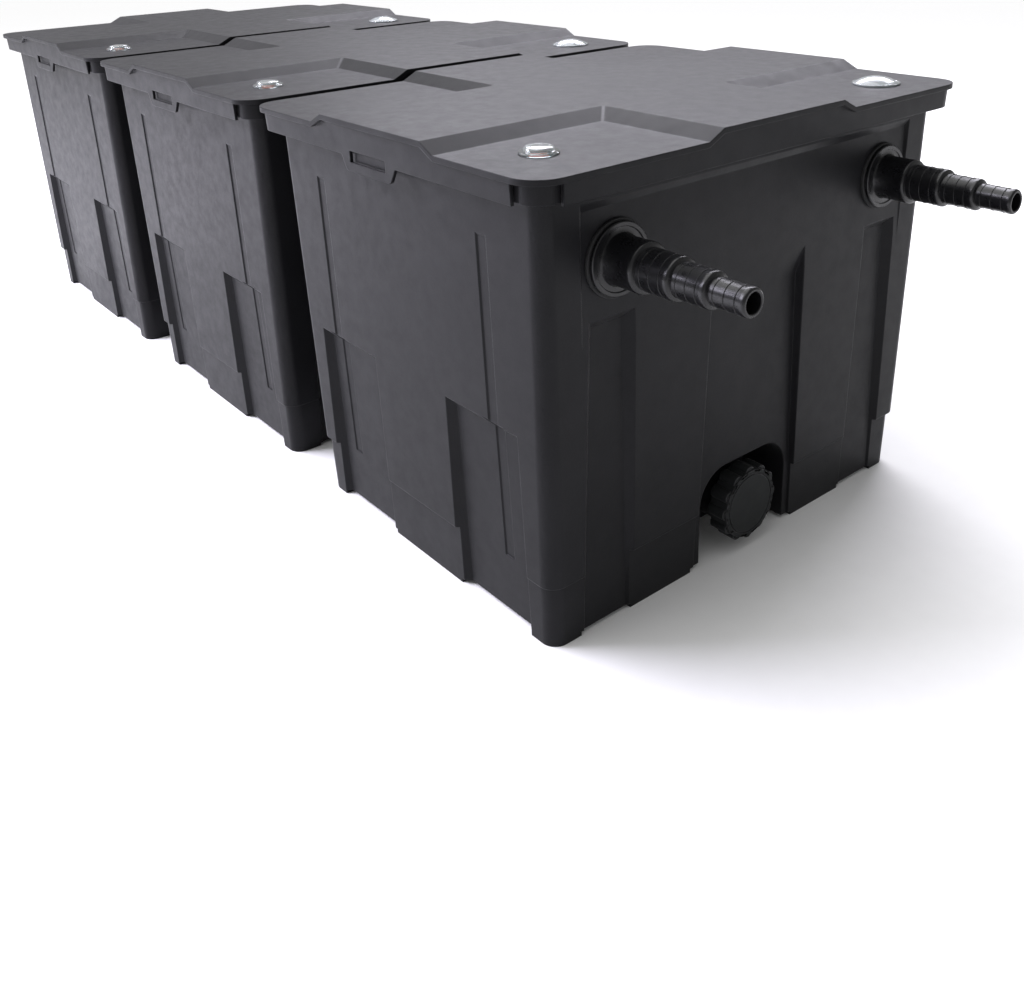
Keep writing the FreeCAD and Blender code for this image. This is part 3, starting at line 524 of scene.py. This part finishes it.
# ---- tanks and what is in them ------------------------------------------------------
def tank_and_lid(k):
    """Big mouldings of one chamber."""
    for kind, body, material in (("tank", "base", TANK_POLYPROPYLENE),
                                 ("lid", "lid_%d" % k, LID_POLYPROPYLENE)):
        node = "%s_%d" % (kind, k)
        moulding = smooth_copy(node, material)
        flatten_fields(moulding)
        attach(moulding, body)
        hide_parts(node)
    for name in ("front_baffle", "rear_baffle"):
        carry_over("%s_%d" % (name, k), "base", INNER_PLASTIC,
                   POLYPROPYLENE_EDGE_PAINTED_HIGHLIGHT, SMALL_EDGE)
    carry_over("foam_grid_%d" % k, "base", INNER_PLASTIC,
               POLYPROPYLENE_EDGE_PAINTED_HIGHLIGHT, SMALL_EDGE)
    carry_over("dome_nuts_%d" % k, "lid_%d" % k, INNER_PLASTIC,
               POLYPROPYLENE_EDGE_PAINTED_HIGHLIGHT, SMALL_EDGE)


def lid_surface(k):
    """Height of the lid's low corner fields."""
    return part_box("dome_nuts_%d" % k)[1][2] + LID_SKIN * MM


def window(k):
    """Large shallow lens-shaped window with a rolled flange."""
    node = "window_%d" % k
    flange = half_width(node, 0)
    at = middle(node)
    origin = Vector((at.x, at.y, lid_surface(k)))
    stem_low = (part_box(node)[0][2] - origin.z) / MM
    rise = (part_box(node)[1][2] - origin.z) / MM
    stem = flange - WINDOW_FLANGE
    crown = rise - DOME_FLANGE
    ball = (stem ** 2 + crown ** 2) / (2 * crown)
    roll = DOME_FLANGE / 2
    outline = [(stem_low, stem - DOME_SKIN), (stem_low, stem), (0.0, stem), (0.0, flange - 0.6)]
    outline += arc(roll, flange - roll, roll, 120, 0)
    outline += [(DOME_FLANGE, stem + 1.2), (1.7, stem + 0.5)]
    for i in range(LENS_STEPS_OUT):
        r = stem * (1 - i / LENS_STEPS_OUT)
        outline.append((DOME_FLANGE + math.sqrt(ball ** 2 - r ** 2) - (ball - crown), r))
    outline.append((rise, 0))
    low_rise = rise - DOME_SKIN
    inner = [(low_rise, 0)]
    for i in range(1, LENS_STEPS_IN + 1):
        r = (stem - DOME_SKIN) * i / LENS_STEPS_IN
        inner.append((low_rise - (ball - math.sqrt(ball ** 2 - r ** 2)), r))
    return node, outline, inner, origin


def dome_piece(name, node, outline, inner, origin, body, material):
    """Clear dome from its outer outline and its inner one, closed at the stem's end."""
    piece = turned(name, inner + outline, origin, (0, 0, 1), material, sides=72)
    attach(piece, body)
    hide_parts(node)


def domes(k):
    """Window, indicator cover and the indicator under it."""
    body = "lid_%d" % k
    node, outline, inner, origin = window(k)
    dome_piece("window_lens_%d" % k, node, outline, inner, origin, body, WINDOW_ACRYLIC)
    node = "indicator_cover_%d" % k
    flange = half_width(node, 0)
    at = middle(node)
    origin = Vector((at.x, at.y, lid_surface(k)))
    low = (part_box(node)[0][2] - origin.z) / MM
    high = (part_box(node)[1][2] - origin.z) / MM
    stem = flange - COVER_FLANGE
    outline = [(low, COVER_HOLE_R), (low, stem), (0, stem), (0, flange - 0.5), (0.5, flange),
               (1.6, flange), (DOME_FLANGE, flange - 0.7), (DOME_FLANGE, stem + 0.8),
               (2.8, stem)]
    outline += [(high - 2.6, stem), (high - 1.8, stem - 0.25), (high - 1.1, stem - 0.9),
                (high - 0.7, stem - 1.8), (high - 0.3, stem * 0.55), (high, 0)]
    inside, roof = stem - DOME_SKIN, high - DOME_SKIN
    inner = [(roof, 0), (roof - 0.3, stem * 0.5), (roof - 1.2, inside - 0.6),
             (roof - 2.2, inside), (low + COVER_STOP, inside), (low + COVER_STOP, COVER_HOLE_R)]
    dome_piece("indicator_cap_%d" % k, node, outline, inner, origin, body, COVER_ACRYLIC)
    carry_over("indicator_float_%d" % k, "float_%d" % k, FLOAT_ABS, FLOAT_ABS,
               SMALL_EDGE)


def foam_slabs(k):
    """Soft blocks with slightly uneven cut faces, a little smaller than their space."""
    for index, letter in enumerate("abcd"):
        node = "foam_slab_%s_%d" % (letter, k)
        low, high = (Vector(corner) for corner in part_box(node))
        bm = bmesh.new()
        bmesh.ops.create_cube(bm, size=1.0)
        size = high - low
        for v in bm.verts:
            v.co = Vector([low[i] + size[i] * (v.co[i] + 0.5) for i in range(3)])
        bmesh.ops.subdivide_edges(bm, edges=bm.edges, cuts=FOAM_CUTS, use_grid_fill=True)
        centre = (low + high) / 2
        for v in bm.verts:
            wave = math.sin(v.co.x * 61 + index) * math.sin(v.co.y * 47 + k)
            corner = min((high[i] - low[i]) / 2 - abs(v.co[i] - centre[i]) for i in range(2))
            rounding = 1.2 * MM if corner < FOAM_EDGE * MM else 0.3 * MM
            v.co += (centre - v.co).normalized() * (rounding + 0.25 * MM * (1 + wave))
        for face in bm.faces:
            face.smooth = True
        mesh = bpy.data.meshes.new(node + "_foam")
        bm.to_mesh(mesh)
        bm.free()
        green = letter in "cd"
        slab = link_object(node + "_foam", mesh, FOAM_GREEN if green else FOAM_BLUE)
        soft = slab.modifiers.new("soft_edges", "BEVEL")
        soft.width = FOAM_EDGE * 0.5 * MM
        soft.segments = 3
        soft.limit_method = "ANGLE"
        soft.angle_limit = math.radians(50)
        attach(slab, "base")
        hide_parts(node)


def drain(k, thread):
    """Drain spout with its thread, the lobed cap and its seal."""
    node = "drain_spout_%d" % k
    low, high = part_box(node)
    length = (high[0] - low[0]) / MM
    flange = half_width(node, 1)
    outer = flange - SPOUT_FLANGE
    root = outer - THREAD_DEPTH
    bore = outer - SPOUT_WALL
    start = Vector((low[0], middle(node).y, middle(node).z))
    outline = [(0, bore), (0, flange - 0.6), (0.6, flange), (SPOUT_FLANGE_THICK - 0.6, flange),
               (SPOUT_FLANGE_THICK, flange - 0.6), (SPOUT_FLANGE_THICK, outer),
               (length - 19, outer), (length - 18.4, root), (length - 0.8, root),
               (length, root - 0.8), (length, bore)]
    spout = turned("drain_spout_%d_turned" % k, outline, start, (1, 0, 0), INNER_PLASTIC)
    ridge = grow("drain_thread_%d" % k, thread, {
        "Start": start + Vector(((length - 2.0 - SPOUT_THREAD) * MM, 0, 0)),
        "Radius": root * MM, "Turns": SPOUT_THREAD / THREAD_PITCH, "Length": SPOUT_THREAD * MM,
        "Depth": THREAD_DEPTH * MM})
    for piece in (spout, ridge):
        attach(piece, "base")
    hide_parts(node)
    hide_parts(node)
    carry_over("drain_cap_%d" % k, "drain_cap_%d" % k, CAP_PLASTIC,
               POLYPROPYLENE_EDGE_PAINTED_HIGHLIGHT, CAP_EDGE, 3)
    carry_over("drain_cap_seal_%d" % k, "drain_seal_%d" % k, SEAL_RUBBER,
               SEAL_RUBBER, SEAL_EDGE)


# ---- pipe fittings ------------------------------------------------------------------
def tail_outline(steps, flange, thread, bore):
    """Hose tail from its threaded end to its tip, with rounded shoulders."""
    outline = [(-TAIL_THREAD, bore), (-TAIL_THREAD, thread - 1.2), (1.2 - TAIL_THREAD, thread),
               (0.0, thread)]
    outline += [(0.0, flange - 0.8), (0.8, flange), (3.2, flange), (4.0, flange - 0.8),
                (4.0, flange - 3.6), (3.0, flange - 4.4), (3.0, steps[0][0] + 3.2),
                (3.6, steps[0][0] + 1.2), (5.6, steps[0][0])]
    at = TAIL_FLANGE
    for i, (radius, length) in enumerate(steps):
        if i:
            outline.append((at + 0.6, radius))
        at += length
        full = radius + STEP_SWELL
        outline += [(at - 6.0, radius), (at - 5.0, full), (at - 2.6, full)]
        outline += arc(at - SHOULDER_R, full - SHOULDER_R, SHOULDER_R, 80, 10, 5)
    outline[-1] = (at, steps[-1][0] - 1.2)
    outline.append((at, bore + 0.6))
    outline.append((at - 0.6, bore))
    return outline


def tail_ridges(name, tree, origin, direction, steps, first, count):
    """Fine raised rings that grip the hose, count to a step, from step number first on."""
    rings = []
    at = TAIL_FLANGE
    for i, (radius, length) in enumerate(steps):
        if i >= first:
            spacing = (length - 14.0) / (count - 1)
            start = origin + Vector(((at + 5.0) * MM * direction, 0, 0))
            rings.append(grow("%s_%d" % (name, i), tree, {
                "Start": start, "Count": count, "Spacing": spacing * MM * direction,
                "Radius": (radius + 0.05) * MM, "Ridge": RIDGE_RADIUS * MM}))
        at += length
    bpy.ops.object.select_all(action="DESELECT")
    for ring in rings:
        ring.select_set(True)
    bpy.context.view_layer.objects.active = rings[0]
    bpy.ops.object.join()
    rings[0].name = name
    return rings[0]


def hose_tail(node, steps, direction, thread, bore, tree, first, count):
    """One stepped hose tail and its gripping rings."""
    low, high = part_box(node)
    flange = half_width(node, 1)
    reach = (high[0] - low[0]) / MM - TAIL_THREAD
    base_x = high[0] - reach * MM if direction > 0 else low[0] + reach * MM
    origin = Vector((base_x, middle(node).y, middle(node).z))
    body = turned(node + "_turned", tail_outline(steps, flange, thread, bore), origin,
                  (direction, 0, 0), HOSE_TAIL_ABS)
    rings = tail_ridges(node + "_rings", tree, origin, direction, steps, first, count)
    for piece in (body, rings):
        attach(piece, "base")
        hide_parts(node)


def fittings():
    """Hose tails, outlet, gaskets, nuts and the links between tanks."""
    ridges = ridge_tree()
    for side in ("left", "right"):
        hose_tail("hose_tail_" + side, TAIL_STEPS, 1, TAIL_THREAD_R, TAIL_BORE_R, ridges, 1, 3)
    hose_tail("outlet_tail", OUTLET_STEPS, -1, OUTLET_THREAD_R, OUTLET_BORE_R, ridges, 0, 5)
    for node in ("tail_gaskets", "outlet_gasket", "link_seals_12", "link_seals_23"):
        carry_over(node, "base", SEAL_RUBBER, SEAL_RUBBER, SMALL_EDGE)
    for node in ("tail_nuts", "outlet_nut", "link_pipe_12", "link_pipe_23"):
        carry_over(node, "base", INNER_PLASTIC, POLYPROPYLENE_EDGE_PAINTED_HIGHLIGHT, SMALL_EDGE)


# ---- studio -------------------------------------------------------------------------
def area_light(name, place, target, size, power, tint="#ffffff"):
    """Rectangular softbox at a place, aimed at a point."""
    data = bpy.data.lights.new(name, "AREA")
    data.shape = "RECTANGLE"
    data.size, data.size_y = size
    data.energy = power
    data.color = colour(tint)[:3]
    lamp = bpy.data.objects.new(name, data)
    bpy.context.scene.collection.objects.link(lamp)
    lamp.location = place
    lamp.rotation_euler = (Vector(target) - Vector(place)).to_track_quat("-Z", "Y").to_euler()


def studio():
    """Pale paper floor under a very soft overhead light. One softbox behind the row puts the
    sheen on the lids, and one low beside it puts it on the long side."""
    half = FLOOR_HALF
    mesh = bpy.data.meshes.new("paper_floor")
    mesh.from_pydata([(-half, -half, 0), (half, -half, 0), (half, half, 0), (-half, half, 0)], [],
                     [(0, 1, 2, 3)])
    link_object("paper_floor", mesh, FLOOR_PAPER)
    world = bpy.data.worlds.new("studio")
    world.use_nodes = True
    background = world.node_tree.nodes["Background"]
    background.inputs["Color"].default_value = colour("#ffffff")
    background.inputs["Strength"].default_value = 0.4
    bpy.context.scene.world = world
    overhead = bpy.data.lights.new("overhead", "SUN")
    overhead.energy = 2.4
    overhead.angle = math.radians(70)
    lamp = bpy.data.objects.new("overhead", overhead)
    lamp.rotation_euler = Vector((0.45, 0.22, -1)).to_track_quat("-Z", "Y").to_euler()
    bpy.context.scene.collection.objects.link(lamp)
    area_light("lid_sheen", (-1.0, 1.8, 2.1), (0.2, 0, 0.4), (2.8, 1.2), 84.0, "#f6f4ff")
    area_light("side_sheen", (-1.3, -1.7, 1.7), (-0.5, -0.9, 0.0), (1.6, 1.2), 110.0, "#efecff")
    bpy.context.scene.view_settings.view_transform = "Standard"


camera()
studio()
threads = thread_tree()
for k in MODULES:
    tank_and_lid(k)
    domes(k)
    foam_slabs(k)
    drain(k, threads)
fittings()
